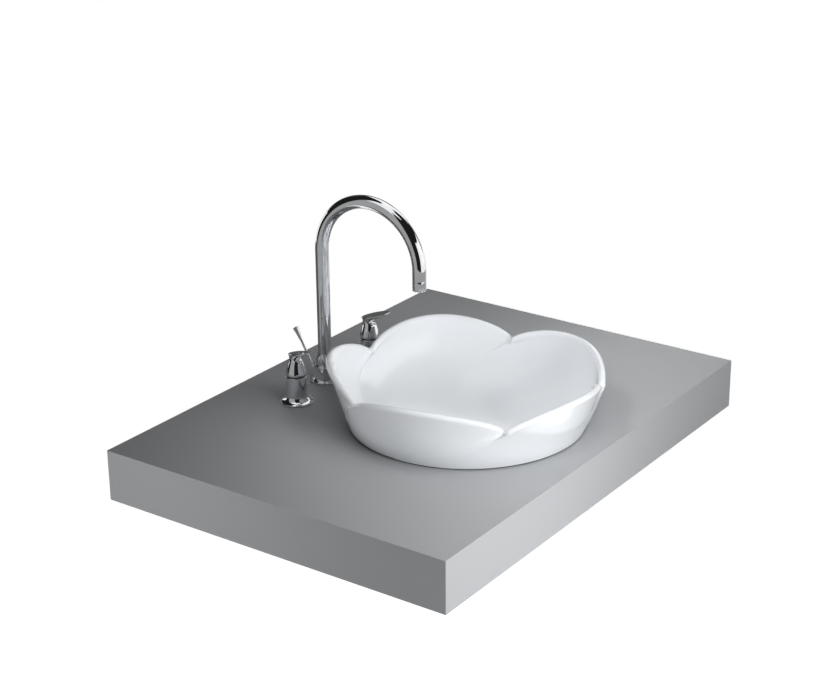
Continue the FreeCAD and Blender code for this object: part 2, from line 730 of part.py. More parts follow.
def spout_head():
    outside, way = swan_neck("spout_outside", "tube_radius"), swan_neck("spout_way", "tube_bore")
    node(cut("spout_tube_cut", outside, [way]), "spout_tube")
    low = "spout_floor + running_clear"
    long = "spout_body_height + glide_height + insert_reach - spout_floor"
    groove = "insert_radius - 2 * ring_section"
    first, width = "ring_spacing", "2 * ring_section + running_clear"
    profile = [("insert_bore", "0"), ("insert_radius", "0")]
    for turn in ("1", "2"):
        start = turn + " * " + first
        profile += [("insert_radius", start), (groove, start), (groove, start + " + " + width),
                    ("insert_radius", start + " + " + width)]
    profile += [("insert_radius", long), ("insert_bore", long)]
    at_spout(turned("spout_insert", profile), "spout_insert", "deck + " + low)
    rings = []
    for turn in ("1", "2"):
        hoop = bind(doc.addObject("Part::Torus", "spout_ring_" + turn),
                    Radius1="insert_radius - ring_section", Radius2="ring_section")
        level = "deck + %s + %s * ring_spacing + ring_section + running_clear / 2" % (low, turn)
        rings.append(place(hoop, "fixture_x", "spout_y", level))
    node(group("spout_rings_pair", rings), "spout_o_rings")

    long = "aerator_length"
    bore = "tube_radius - aerator_wall"
    housing = turned("aerator_housing", [
        (bore, "0"), ("tube_radius - aerator_edge", "0"),
        ("tube_radius", "aerator_edge", "+aerator_edge"), ("tube_radius", long), ("insert_radius", long),
        ("insert_radius", long + " + aerator_spigot"),
        ("tube_bore - aerator_wall", long + " + aerator_spigot"), ("tube_bore - aerator_wall", long),
        (bore, long)])
    at_outlet(housing, "aerator_housing", "tip_level")
    disc = cylinder("aerator_disc", bore + " - bond_gap", "aerator_insert_height")
    holes = []
    for step in range(6):
        angle = 60 * step
        holes.append(place(cylinder("aerator_hole_%d" % step, "aerator_hole", "aerator_insert_height"),
                           "aerator_hole_ring * cos(%d)" % angle, "aerator_hole_ring * sin(%d)" % angle))
    top = "tip_level + aerator_length - aerator_washer_height"
    at_outlet(cut("aerator_insert_cut", disc, holes), "aerator_insert", top + " - aerator_insert_height")
    washer = ring("aerator_washer", "insert_bore", bore + " - bond_gap", "aerator_washer_height")
    at_outlet(washer, "aerator_washer", top)


def spout_foot():
    blank = turned("spout_base_blank", [
        ("0", "0"), ("spout_flange_radius", "0"), ("spout_flange_radius", "bell_lip"),
        ("spout_body_radius", "bell_lip"), ("spout_body_radius", "spout_body_height - cap_edge"),
        ("spout_body_radius - cap_edge", "spout_body_height"), ("0", "spout_body_height")])
    tools = [place(cylinder("spout_journal", "journal_bore", "spout_body_height"), z="spout_floor"),
             place(cylinder("spout_inlet", "pipe_radius + bond_gap", "pipe_grip"), "stud_offset"),
             place(cylinder("spout_passage", "pipe_bore", "spout_floor + running_clear"), "stud_offset"),
             place(cylinder("spout_stud_hole", "stud_radius + bond_gap", "stud_grip"), "-stud_offset"),
             place(cylinder("spout_lift_hole", "lift_rod_radius + running_clear", "2 * spout_body_height"),
                   "0", "lift_entry - spout_body_height * sin(lift_tilt)",
                   "-spout_body_height * cos(lift_tilt) - deck_gasket", X_AXIS, "-lift_tilt")]
    at_spout(cut("spout_base_cut", blank, tools), "spout_base", "deck")
    collar = turned("spout_collar", [
        ("glide_radius + running_clear", "0"), ("collar_foot_radius", "0"),
        ("collar_top_radius", "collar_height"), ("collar_bead_radius", "collar_height"),
        ("collar_bead_radius", "collar_height + collar_bead_height"),
        ("tube_radius + running_clear", "collar_height + collar_bead_height"),
        ("tube_radius + running_clear", "glide_height + running_clear"),
        ("glide_radius + running_clear", "glide_height + running_clear")])
    at_spout(collar, "spout_collar", "deck + spout_body_height")
    glide = ring("spout_glide_ring", "journal_bore", "glide_radius", "glide_height")
    at_spout(glide, "spout_glide_ring", "deck + spout_body_height")
    gasket = ring("spout_gasket", "spout_hole", "spout_flange_radius - bell_lip", "deck_gasket")
    at_spout(gasket, "spout_gasket", "counter_height")

    stud = cylinder("spout_stud", "stud_radius", "stud_grip + deck_gasket + stud_drop")
    at_spout(stud, "spout_stud", "counter_height - stud_drop", "fixture_x - stud_offset")
    layers = [("spout_clamp_rubber", "clamp_rubber_height", "under_deck - clamp_rubber_height"),
              ("spout_clamp_plate", "clamp_plate_height", "clamp_foot")]
    for label, height, z in layers:
        disc = cylinder(label + "_disc", "clamp_radius", height)
        slot = place(box(label + "_slot", "2 * clamp_radius", "2 * clamp_slot", height),
                     "-clamp_slot_start", "-clamp_slot")
        hole = place(cylinder(label + "_hole", "stud_radius + bond_gap", height), "-stud_offset")
        at_spout(cut(label + "_cut", disc, [slot, hole]), label, z)
    nut = hex_nut("spout_clamp_nut", "clamp_nut_radius", "stud_radius + bond_gap", "clamp_nut_height")
    at_spout(nut, "spout_clamp_nut", "clamp_foot - clamp_nut_height", "fixture_x - stud_offset")

    top = "link_level + tee_height / 2"
    tail = ring("spout_tail_pipe", "pipe_bore", "pipe_radius", "deck + pipe_grip + link_grip - (%s)" % top)
    at_spout(tail, "spout_tail_pipe", top + " - link_grip", "tee_x")


# Link pipes: each lies straight between its valve and the tee
SIDES = {"hot": "-1", "cold": "1"}


def valve_x(side):
    return "fixture_x + %s * handle_offset" % SIDES[side]


def link_run(side):
    """Distance along the wall and straight length from a valve to the tee, as formulas."""
    along = "(tee_x - (%s))" % valve_x(side)
    return along, "sqrt(%s ^ 2 + (spout_y - handle_y) ^ 2)" % along


def aimed(thing, side, from_tee=False):
    """Lay a piece that was turned about Z along the line from a valve to the tee, or back again."""
    along, _ = link_run(side)
    dx, dy = number(along), number("spout_y - handle_y")
    heading = math.degrees(math.atan2(dy, dx)) + (180 if from_tee else 0)
    flat = FreeCAD.Rotation(FreeCAD.Vector(*Y_AXIS), 90)
    thing.Placement.Rotation = FreeCAD.Rotation(FreeCAD.Vector(*Z_AXIS), heading) * flat
    x, y = ("tee_x", "spout_y") if from_tee else (valve_x(side), "handle_y")
    return place(thing, x, y, "link_level")


def links():
    body = place(cylinder("tee_body", "tee_radius", "tee_height"),
                 "tee_x", "spout_y", "link_level - tee_height / 2")
    way = place(cylinder("tee_way", "pipe_bore", "tee_height / 2"), "tee_x", "spout_y", "link_level")
    inlet = place(cylinder("tee_inlet", "pipe_radius + bond_gap", "link_grip"),
                  "tee_x", "spout_y", "link_level + tee_height / 2 - link_grip")
    arms, ways, nuts = [body], [way, inlet], []
    for side in SIDES:
        _, long = link_run(side)
        arms.append(aimed(cylinder(side + "_tee_arm", "arm_radius", "arm_reach"), side, True))
        ways.append(aimed(cylinder(side + "_tee_way", "pipe_bore", "arm_reach"), side, True))
        socket = turned(side + "_tee_socket", [
            ("0", "arm_reach - link_grip"), ("pipe_radius + bond_gap", "arm_reach - link_grip"),
            ("pipe_radius + bond_gap", "arm_reach"), ("0", "arm_reach")])
        ways.append(aimed(socket, side, True))
        start = "outlet_reach - link_grip"
        end = long + " - arm_reach + link_grip"
        pipe = turned(side + "_link_pipe", [
            ("pipe_bore", start), ("pipe_radius", start), ("pipe_radius", end), ("pipe_bore", end)])
        node(aimed(pipe, side), side + "_link_pipe")
        for end_name, reach, from_tee in (("valve", "outlet_reach", False), ("tee", "arm_reach", True)):
            name = "%s_%s_nut" % (side, end_name)
            blank = bind(doc.addObject("Part::Prism", name + "_blank"), Circumradius="link_nut_radius",
                         Height="link_nut_length")
            blank.Polygon = 6
            hole = cylinder(name + "_hole", "pipe_radius + bond_gap", reach + " + link_nut_length")
            nut = cut(name, place(blank, z=reach), [hole])
            nuts.append(aimed(nut, side, from_tee))
    node(cut("mixing_tee_cut", fuse("mixing_tee_blank", arms), ways), "mixing_tee")
    node(group("link_nut_set", nuts), "link_nuts")


# Valves
def at_valve(thing, side, z):
    return place(thing, valve_x(side), "handle_y", z)


def valve(side):
    bell = turned(side + "_escutcheon", [
        ("shank_collar_radius + running_clear", "0"), ("bell_radius", "0"), ("bell_radius", "bell_lip"),
        ("sleeve_radius", "bell_flare_height", "-bell_flare"),
        ("sleeve_radius", "sleeve_height - cap_edge"), ("sleeve_radius - cap_edge", "sleeve_height"),
        ("sleeve_bore", "sleeve_height"),
        ("sleeve_bore", "shank_collar_height + running_clear"),
        ("shank_collar_radius + running_clear", "shank_collar_height + running_clear")])
    node(at_valve(bell, side, "deck"), side + "_escutcheon")
    glide = ring(side + "_glide_ring", "valve_glide_bore", "sleeve_radius - valve_glide_setback",
                 "valve_glide_height")
    node(at_valve(glide, side, "deck + sleeve_height"), side + "_glide_ring")

    drop = "valve_drop + deck_gasket"
    inner = "cartridge_radius + bond_gap"
    shank = turned(side + "_shank", [
        ("valve_bore", "0"), ("inlet_thread_radius", "0"), ("inlet_thread_radius", "inlet_length"),
        ("shank_radius", "inlet_length"), ("shank_radius", drop), ("shank_collar_radius", drop),
        ("shank_collar_radius", drop + " + shank_collar_height"),
        ("shank_radius", drop + " + shank_collar_height"), ("shank_radius", drop + " + shank_top"),
        (inner, drop + " + shank_top"), (inner, drop + " + cartridge_foot"),
        ("valve_bore", drop + " + cartridge_foot")])
    at_valve(shank, side, "counter_height - valve_drop")
    boss = aimed(cylinder(side + "_outlet", "arm_radius", "outlet_reach"), side)
    way = aimed(cylinder(side + "_outlet_way", "pipe_bore", "outlet_reach"), side)
    socket = turned(side + "_outlet_socket", [
        ("0", "outlet_reach - link_grip"), ("pipe_radius + bond_gap", "outlet_reach - link_grip"),
        ("pipe_radius + bond_gap", "outlet_reach"), ("0", "outlet_reach")])
    core = at_valve(cylinder(side + "_core", "valve_bore", drop), side, "counter_height - valve_drop")
    blank = fuse(side + "_valve_blank", [shank, boss])
    body = cut(side + "_valve_cut", blank, [way, aimed(socket, side), core])
    node(body, side + "_valve_body")

    disc_bore = "disc_radius + running_clear"
    cartridge = turned(side + "_cartridge", [
        ("valve_bore", "cartridge_foot"), ("cartridge_radius", "cartridge_foot"),
        ("cartridge_radius", "cartridge_top"), ("spindle_radius + running_clear", "cartridge_top"),
        ("spindle_radius + running_clear", "disc_foot + disc_height + running_clear"),
        (disc_bore, "disc_foot + disc_height + running_clear"), (disc_bore, "disc_foot - running_clear"),
        ("valve_bore", "disc_foot - running_clear")])
    node(at_valve(cartridge, side, "deck"), side + "_cartridge")


def handle(side):
    splay = "270 + %s * lever_splay" % SIDES[side]
    spindle = turned(side + "_spindle", [
        ("0", "disc_foot"), ("disc_radius", "disc_foot"), ("disc_radius", "disc_foot + disc_height"),
        ("spindle_radius", "disc_foot + disc_height"), ("spindle_radius", "spindle_top"),
        ("0", "spindle_top")])
    node(at_valve(spindle, side, "deck"), side + "_spindle")

    dome = turned(side + "_dome", [
        ("0", "cap_foot"), ("cap_foot_radius - cap_edge", "cap_foot"),
        ("cap_foot_radius", "cap_foot + cap_edge"), ("cap_foot_radius", "cap_foot + cap_foot_height"),
        ("cap_neck_radius", "cap_neck_height", "+cap_round"), ("0", "cap_neck_height")])
    neck = bind(doc.addObject("Part::Circle", side + "_neck"), Radius="cap_neck_radius")
    place(neck, z="cap_neck_height")
    sections = [neck]
    waist_share = "(lever_waist - cap_neck_height) / (lever_height - cap_neck_height) / 2"
    for name, share, lower, trim in (("waist", waist_share, "lever_height - lever_waist", "0"),
                                     ("rim", "1", "lever_edge", "0"), ("brow", "1", "0", "lever_bevel")):
        grown = "cap_neck_radius + (%s - cap_neck_radius) * (%s) - %s"
        outline = bind(doc.addObject("Part::Ellipse", side + "_" + name),
                       MajorRadius=grown % ("lever_half", share, trim),
                       MinorRadius=grown % ("lever_width / 2", share, trim))
        place(outline, "lever_middle * (%s)" % share, "0", "lever_height - (%s)" % lower, Y_AXIS,
              "-lever_tilt * (%s)" % share)
        sections.append(outline)
    beak = doc.addObject("Part::Loft", side + "_beak")
    beak.Sections = sections
    beak.Solid = True
    deep = "spindle_top + running_clear - cap_foot"
    socket = place(cylinder(side + "_socket", "spindle_radius + bond_gap", deep), z="cap_foot")
    screw_hole = place(cylinder(side + "_screw_hole", "grub_radius + bond_gap", "cap_foot_radius"),
                       z="grub_height", axis=Y_AXIS, angle="-90")
    lever = cut(side + "_handle_cut", fuse(side + "_handle_blank", [dome, beak]), [socket, screw_hole])
    node(place(lever, valve_x(side), "handle_y", "deck", Z_AXIS, splay), side + "_handle")

    grub = place(cylinder(side + "_grub", "grub_radius", "cap_neck_radius - spindle_radius - bond_gap"),
                 "-spindle_radius - bond_gap", "0", "grub_height", Y_AXIS, "-90")
    node(place(group(side + "_grub_screw", [grub]), valve_x(side), "handle_y", "deck", Z_AXIS, splay),
         side + "_grub_screw")


def valve_fixings():
    """Deck gaskets, clamp washers and backnuts, one of each on both valves."""
    gaskets, washers, nuts = [], [], []
    for side in SIDES:
        gasket = ring(side + "_deck_gasket", "shank_radius + shank_clear", "bell_radius - bell_lip",
                      "deck_gasket")
        gaskets.append(at_valve(gasket, side, "counter_height"))
        washer = ring(side + "_clamp_washer", "shank_radius + thread_clear", "valve_washer_radius",
                      "valve_washer_height")
        washers.append(at_valve(washer, side, "under_deck - valve_washer_height"))
        nut = hex_nut(side + "_backnut", "valve_nut_radius", "shank_radius + thread_clear",
                      "valve_nut_height")
        nuts.append(at_valve(nut, side, "under_deck - valve_washer_height - valve_nut_height"))
    node(group("valve_gasket_pair", gaskets), "valve_gaskets")
    node(group("valve_washer_pair", washers), "valve_washers")
    node(group("valve_backnut_pair", nuts), "valve_backnuts")


counter()
basin()
waste()
plug()
pivot()
lift()
spout_head()
spout_foot()
links()
for valve_side in SIDES:
    valve(valve_side)
    handle(valve_side)
valve_fixings()
doc.recompute()

faults = [thing.Label for thing in doc.Objects if {"Invalid", "Error"} & set(thing.State)]
faults += [piece.Label for piece in nodes if piece.Shape.isNull() or not piece.Shape.isValid()]
if faults:
    raise RuntimeError("these objects failed: " + ", ".join(sorted(set(faults))))

os.makedirs("parts", exist_ok=True)
for piece in nodes:
    piece.Shape.exportStep("parts/%s.step" % piece.Label)
    box_of = piece.Shape.BoundBox
    print("%-20s %3d solids %12.1f mm3  z %7.1f to %7.1f" % (
        piece.Label, len(piece.Shape.Solids), piece.Shape.Volume, box_of.ZMin, box_of.ZMax))
print(len(nodes), "nodes")
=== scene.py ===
# %% [markdown]
# # A petal basin in a stone counter
# The imported CAD model is the skeleton of this scene: every piece already has its real size and place, in
# metres, with the origin at the centre of the counter's underside, X along the wall and Y towards it.
# Blender adds what CAD leaves plain: the glazed petals, the polished curves of the tap and the finish of
# every surface.

# %% Load the imported model
import json
import math

import bmesh
import bpy
from mathutils import Matrix, Vector


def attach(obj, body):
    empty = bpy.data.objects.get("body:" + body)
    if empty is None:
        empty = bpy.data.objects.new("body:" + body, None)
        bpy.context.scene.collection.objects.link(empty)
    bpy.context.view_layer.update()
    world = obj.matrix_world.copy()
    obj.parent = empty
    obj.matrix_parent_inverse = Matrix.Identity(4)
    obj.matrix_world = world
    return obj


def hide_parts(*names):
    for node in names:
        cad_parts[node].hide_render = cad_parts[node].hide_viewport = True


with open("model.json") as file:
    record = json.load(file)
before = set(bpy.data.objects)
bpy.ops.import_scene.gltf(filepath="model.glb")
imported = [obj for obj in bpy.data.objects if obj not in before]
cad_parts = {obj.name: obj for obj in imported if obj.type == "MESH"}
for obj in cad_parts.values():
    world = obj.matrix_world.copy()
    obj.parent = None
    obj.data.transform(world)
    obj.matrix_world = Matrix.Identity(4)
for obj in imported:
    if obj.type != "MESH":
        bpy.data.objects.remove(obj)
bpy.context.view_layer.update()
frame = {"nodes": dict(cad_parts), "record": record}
MM = 0.001
FIXTURE_X = -19.5 * MM
BOWL_Y = -72.5 * MM
SPOUT_Y = 198 * MM
VALVE_Y = 180 * MM
VALVE_OFFSET = 95 * MM
COUNTER_TOP = 80 * MM
DECK = COUNTER_TOP + 1 * MM

# %% [markdown]
# ## Camera
# A photograph is matched by finding where its camera stood. Four corners of the counter give the direction,
# and the taper of its edges gives the distance, because a long lens far away tapers less than a short one
# close by. The camera's axes are built from the viewing direction, so no constraint or empty is needed.

# %% Camera
AIM = Vector((0.1966, 0.1676, COUNTER_TOP))
AZIMUTH, ELEVATION, ROLL = (math.radians(angle) for angle in (-54.716, 21.888, -0.50))
DISTANCE = 3.180
FOCAL_PIXELS = 1908.8
PHOTO_WIDTH = 839

back = Vector((math.sin(AZIMUTH) * math.cos(ELEVATION), -math.cos(AZIMUTH) * math.cos(ELEVATION),
               math.sin(ELEVATION)))
level_right = (-back).cross(Vector((0, 0, 1))).normalized()
level_up = level_right.cross(-back)
right = level_right * math.cos(ROLL) + level_up * math.sin(ROLL)
up = level_up * math.cos(ROLL) - level_right * math.sin(ROLL)
camera = bpy.data.objects.new("camera", bpy.data.cameras.new("camera"))
camera.data.sensor_width = 36
camera.data.lens = camera.data.sensor_width * FOCAL_PIXELS / PHOTO_WIDTH
camera.matrix_world = Matrix((right, up, back)).transposed().to_4x4()
camera.matrix_world.translation = AIM + back * DISTANCE
bpy.context.scene.collection.objects.link(camera)
bpy.context.scene.camera = camera
print("lens %.1f mm from %.2f m" % (camera.data.lens, DISTANCE))

# %% [markdown]
# ## Studio
# The background is plain white. A white floor lit by lamps would need so much light that the basin would
# burn out, so the world and the floor show white only to the camera and to reflections, and give the
# basin next to no light. Lamps then model the form. A large one in front does most of the work. Low ones
# light the counter's edges, lamps level with the bowl graze its sides, and small ones above and behind lift
# the bowl's inside and the far parts of the counter. Polished metal looks like metal only when it has
# something dark to reflect, so cards that only reflections show stand round the tap.

# %% World and floor
BACKGROUND_LIGHT = 0.02
FLOOR_LEVEL = -0.76
FLOOR_REACH = 7
FLOOR_GLOW = 0.98
scene = bpy.context.scene
scene.view_settings.view_transform = "Standard"


def add(tree, kind, **inputs):
    """Place a node and set its inputs by name; a socket given as an input is linked."""
    node = tree.nodes.new(kind)
    for name, value in inputs.items():
        socket = node.inputs[name.replace("_", " ")]
        if isinstance(value, bpy.types.NodeSocket):
            tree.links.new(value, socket)
        else:
            socket.default_value = value
    return node


def maths(tree, operation, *values):
    """The result of a maths node whose inputs are numbers or sockets."""
    node = tree.nodes.new("ShaderNodeMath")
    node.operation = operation
    for socket, value in zip(node.inputs, values):
        if isinstance(value, bpy.types.NodeSocket):
            tree.links.new(value, socket)
        else:
            socket.default_value = value
    return node.outputs[0]


def shown_white(tree):
    """A socket that is 1 for rays that show the background: straight, reflected or refracted."""
    path = add(tree, "ShaderNodeLightPath")
    seen = maths(tree, "MAXIMUM", path.outputs["Is Camera Ray"], path.outputs["Is Glossy Ray"])
    return maths(tree, "MAXIMUM", seen, path.outputs["Is Transmission Ray"])


world = bpy.data.worlds.new("studio")
world.use_nodes = True
world.node_tree.nodes.clear()
dim = add(world.node_tree, "ShaderNodeBackground", Color=(0.93, 0.96, 1.0, 1), Strength=BACKGROUND_LIGHT)
white = add(world.node_tree, "ShaderNodeBackground", Color=(1, 1, 1, 1), Strength=1.0)
pick = add(world.node_tree, "ShaderNodeMixShader", Fac=shown_white(world.node_tree))
world.node_tree.links.new(dim.outputs[0], pick.inputs[1])
world.node_tree.links.new(white.outputs[0], pick.inputs[2])
add(world.node_tree, "ShaderNodeOutputWorld", Surface=pick.outputs[0])
scene.world = world

floor_paint = bpy.data.materials.new("studio floor")
floor_paint.use_nodes = True
paint = floor_paint.node_tree
paint.nodes.clear()
matt = add(paint, "ShaderNodeBsdfDiffuse", Color=(0.85, 0.85, 0.85, 1))
glow = add(paint, "ShaderNodeEmission", Color=(1, 1, 1, 1), Strength=FLOOR_GLOW)
lit = add(paint, "ShaderNodeAddShader")
paint.links.new(matt.outputs[0], lit.inputs[0])
paint.links.new(glow.outputs[0], lit.inputs[1])
choose = add(paint, "ShaderNodeMixShader", Fac=shown_white(paint))
paint.links.new(matt.outputs[0], choose.inputs[1])
paint.links.new(lit.outputs[0], choose.inputs[2])
add(paint, "ShaderNodeOutputMaterial", Surface=choose.outputs[0])


def stage_card(name, points, faces, material):
    """A piece of the studio, which isn't part of the basin, with its place in its mesh."""
    mesh = bpy.data.meshes.new(name)
    mesh.from_pydata(points, [], faces)
    mesh.materials.append(material)
    card = bpy.data.objects.new(name, mesh)
    scene.collection.objects.link(card)
    return card


floor_corners = [(x * FLOOR_REACH, y * FLOOR_REACH, FLOOR_LEVEL)
                 for x, y in ((-1, -1), (1, -1), (1, 1), (-1, 1))]
stage_card("studio_floor", floor_corners, [(0, 1, 2, 3)], floor_paint)

# %% Lamps
def softbox(name, at, towards, width, height, watts, beam=180):
    """A rectangular lamp that faces a point, with a beam in degrees, that no camera or mirror shows."""
    lamp = bpy.data.lights.new(name, "AREA")
    lamp.shape = "RECTANGLE"
    lamp.size, lamp.size_y = width, height
    lamp.energy = watts
    lamp.spread = math.radians(beam)
    holder = bpy.data.objects.new(name, lamp)
    holder.matrix_world = (Vector(at) - Vector(towards)).to_track_quat("Z", "Y").to_matrix().to_4x4()
    holder.matrix_world.translation = Vector(at)
    holder.visible_camera = False
    holder.visible_glossy = False
    scene.collection.objects.link(holder)


# Place, aim, width and height in metres, power in watts, and the beam where it is narrow
softbox("front", (-0.30, -1.20, 0.40), (-0.05, -0.20, 0.10), 0.50, 0.30, 7.6)
softbox("front_beam", (-0.25, -0.80, -0.50), (-0.10, -0.30, 0.04), 0.20, 0.08, 0.18, 60)
softbox("front_low", (-0.55, -0.75, 0.00), (-0.20, -0.30, 0.04), 0.30, 0.12, 0.85)
softbox("left_low", (-1.50, 0.75, 0.00), (-0.41, 0.10, 0.04), 0.40, 0.12, 3.9)
softbox("left_graze", (-0.90, 0.20, 0.115), (-0.15, 0.00, 0.12), 0.30, 0.05, 0.68)
softbox("right_low", (0.78, -0.14, 0.26), (0.15, -0.20, 0.08), 0.35, 0.25, 0.35)
softbox("right_graze", (0.95, -0.28, 0.125), (0.15, -0.15, 0.12), 0.30, 0.05, 2.3)
softbox("back_near", (0.30, 0.55, 0.45), (0.25, 0.20, 0.08), 0.25, 0.20, 0.48)
softbox("over_left", (-0.25, -0.45, 0.62), (-0.15, -0.30, 0.08), 0.40, 0.40, 1.55)
softbox("over_bowl", (-0.02, -0.07, 0.45), (-0.02, -0.07, 0.08), 0.20, 0.20, 0.145)
softbox("bowl_left", (-0.20, 0.00, 0.42), (0.05, -0.10, 0.08), 0.15, 0.15, 0.16)
softbox("right_beam", (0.42, -0.06, 0.80), (0.34, -0.10, 0.08), 0.15, 0.15, 0.17, 65)
softbox("rear_beam", (-0.20, 0.10, 0.80), (0.10, -0.20, 0.08), 0.15, 0.15, 0.12, 50)

# %% Cards for the metal
def card_paint(name, brightness):
    """A card that glows by itself, so that its reflection has the brightness that it is given."""
    material = bpy.data.materials.new(name)
    material.use_nodes = True
    tree = material.node_tree
    tree.nodes.clear()
    glow = add(tree, "ShaderNodeEmission", Color=(1, 1, 1, 1), Strength=brightness)
    add(tree, "ShaderNodeOutputMaterial", Surface=glow.outputs[0])
    return material


BLACK, DIM, GREY, LIGHT = (card_paint(name, brightness) for name, brightness in (
    ("black card", 0.012), ("dim card", 0.10), ("grey card", 0.36), ("light card", 1.15)))
TAP = Vector((FIXTURE_X, 0.1, 0.25))
CARD_DISTANCE = 1.3
CARD_STEP = math.radians(6)


def curved_card(name, azimuths, elevations, material):
    """A card bent round the tap, between two azimuths and two elevations, that only reflections show."""
    left, right_end = (math.radians(angle) for angle in azimuths)
    foot, top = (math.radians(angle) for angle in elevations)
    across = max(1, round((right_end - left) / CARD_STEP))
    along = max(1, round((top - foot) / CARD_STEP))
    points, faces = [], []
    for row in range(along + 1):
        lift = foot + (top - foot) * row / along
        for column in range(across + 1):
            turn = left + (right_end - left) * column / across
            away = Vector((math.cos(turn) * math.cos(lift), math.sin(turn) * math.cos(lift), math.sin(lift)))
            points.append(TAP + away * CARD_DISTANCE)
    for row in range(along):
        for column in range(across):
            corner = row * (across + 1) + column
            faces.append((corner, corner + 1, corner + across + 2, corner + across + 1))
    card = stage_card(name, points, faces, material)
    card.visible_camera = False
    card.visible_diffuse = False
    card.visible_shadow = False
    card.visible_transmission = False


# Azimuths run anticlockwise from the X axis, seen from above, and both angles are in degrees
for name, azimuths, elevations, material in (
        ("left_card", (132, 190), (-42, 46), GREY),
        ("left_dark_card", (60, 132), (8, 80), BLACK),
        ("left_gap_card", (98, 132), (-12, 8), BLACK),
        ("left_rear_card", (44, 60), (36, 80), BLACK),
        ("left_floor_card", (70, 132), (-42, -12), DIM),
        ("front_floor_card", (190, 345), (-42, -14), GREY),
        ("front_dark_card", (190, 250), (-14, 62), BLACK),
        ("front_top_card", (250, 336), (27, 78), BLACK),
        ("front_light_card", (276, 326), (-6, 25), LIGHT),
        ("right_dark_card", (328, 350), (2, 34), BLACK),
        ("rear_card", (12, 60), (-14, 36), DIM),
        ("rear_floor_card", (5, 70), (-42, -14), BLACK),
        ("top_light_card", (344, 404), (36, 64), LIGHT)):
    curved_card(name, azimuths, elevations, material)

# %% [markdown]
# ## Finishes
# Each finish is one Principled shader. What varies over a surface, such as the cloudiness of stone or the
# faint unevenness of a polish, comes from one shared node group that turns an object's own coordinates
# into a tone around 1 and a small height. What is the same all over is set on the shader itself.

# %% Shared mottle group
mottle = bpy.data.node_groups.new("mottle", "ShaderNodeTree")
for name, kind, value in (("Vector", "NodeSocketVector", None), ("Scale", "NodeSocketFloat", 200.0),
                          ("Spread", "NodeSocketFloat", 0.1), ("Detail", "NodeSocketFloat", 4.0)):
    socket = mottle.interface.new_socket(name, in_out="INPUT", socket_type=kind)
    if value is not None:
        socket.default_value = value
for name in ("Tone", "Height"):
    mottle.interface.new_socket(name, in_out="OUTPUT", socket_type="NodeSocketFloat")
given = add(mottle, "NodeGroupInput")
cloud = add(mottle, "ShaderNodeTexNoise", Vector=given.outputs["Vector"], Scale=given.outputs["Scale"],
            Detail=given.outputs["Detail"])
centred = maths(mottle, "SUBTRACT", cloud.outputs["Fac"], 0.5)
tone = maths(mottle, "MULTIPLY_ADD", centred, given.outputs["Spread"], 1.0)
add(mottle, "NodeGroupOutput", Tone=tone, Height=cloud.outputs["Fac"])


# %% Materials
GRAIN_DEPTH = 0.2 * MM


def finish(name, colour, metallic, roughness, scale, spread, bump, stretch=(1, 1, 1), **sockets):
    """A material whose colour and roughness drift with the mottle group, over a faint bump."""
    material = bpy.data.materials.new(name)
    material.use_nodes = True
    tree = material.node_tree
    shader = tree.nodes["Principled BSDF"]
    place = add(tree, "ShaderNodeTexCoord")
    turn = add(tree, "ShaderNodeMapping", Vector=place.outputs["Object"], Scale=stretch)
    drift = add(tree, "ShaderNodeGroup")
    drift.node_tree = mottle
    tree.links.new(turn.outputs["Vector"], drift.inputs["Vector"])
    drift.inputs["Scale"].default_value = scale
    drift.inputs["Spread"].default_value = spread
    shade = add(tree, "ShaderNodeMix")
    shade.data_type = "RGBA"
    shade.blend_type = "MULTIPLY"
    shade.inputs["Factor"].default_value = 1.0
    shade.inputs["A"].default_value = (*colour, 1)
    tree.links.new(drift.outputs["Tone"], shade.inputs["B"])
    tree.links.new(shade.outputs["Result"], shader.inputs["Base Color"])
    polish = maths(tree, "MULTIPLY", drift.outputs["Tone"], roughness)
    tree.links.new(polish, shader.inputs["Roughness"])
    grain = add(tree, "ShaderNodeBump", Strength=bump, Distance=GRAIN_DEPTH, Height=drift.outputs["Height"])
    tree.links.new(grain.outputs["Normal"], shader.inputs["Normal"])
    shader.inputs["Metallic"].default_value = metallic
    for socket, value in sockets.items():
        shader.inputs[socket.replace("_", " ")].default_value = value
    return material


FINISHES = {
    "counter_stone": finish("counter stone", (0.48, 0.49, 0.505), 0, 0.46, 900, 0.10, 0.10,
                            Specular_IOR_Level=0.30),
    "white_china": finish("white china", (0.888, 0.912, 0.938), 0, 0.09, 30, 0.015, 0.01,
                          Coat_Weight=0.5, Coat_Roughness=0.03),
    "chrome": finish("chrome", (0.84, 0.85, 0.865), 1, 0.03, 60, 0.3, 0.0),
    "raw_brass": finish("raw brass", (0.66, 0.50, 0.25), 1, 0.30, 260, 0.25, 0.05),
    "steel": finish("steel", (0.58, 0.59, 0.61), 1, 0.32, 700, 0.3, 0.08, stretch=(1, 1, 0.08)),
    "black_rubber": finish("black rubber", (0.018, 0.018, 0.019), 0, 0.75, 500, 0.3, 0.12),
    "white_plastic": finish("white plastic", (0.78, 0.78, 0.76), 0, 0.42, 320, 0.04, 0.05),
    "dark_plastic": finish("dark plastic", (0.022, 0.022, 0.024), 0, 0.38, 320, 0.1, 0.05),
}
slot_of = {part["node"]: part["material_slot"] for part in frame["record"]["subparts"]}
for name, part in frame["nodes"].items():
    part.data.materials.clear()
    part.data.materials.append(FINISHES[slot_of[name]])
print("finishes:", ", ".join(FINISHES))

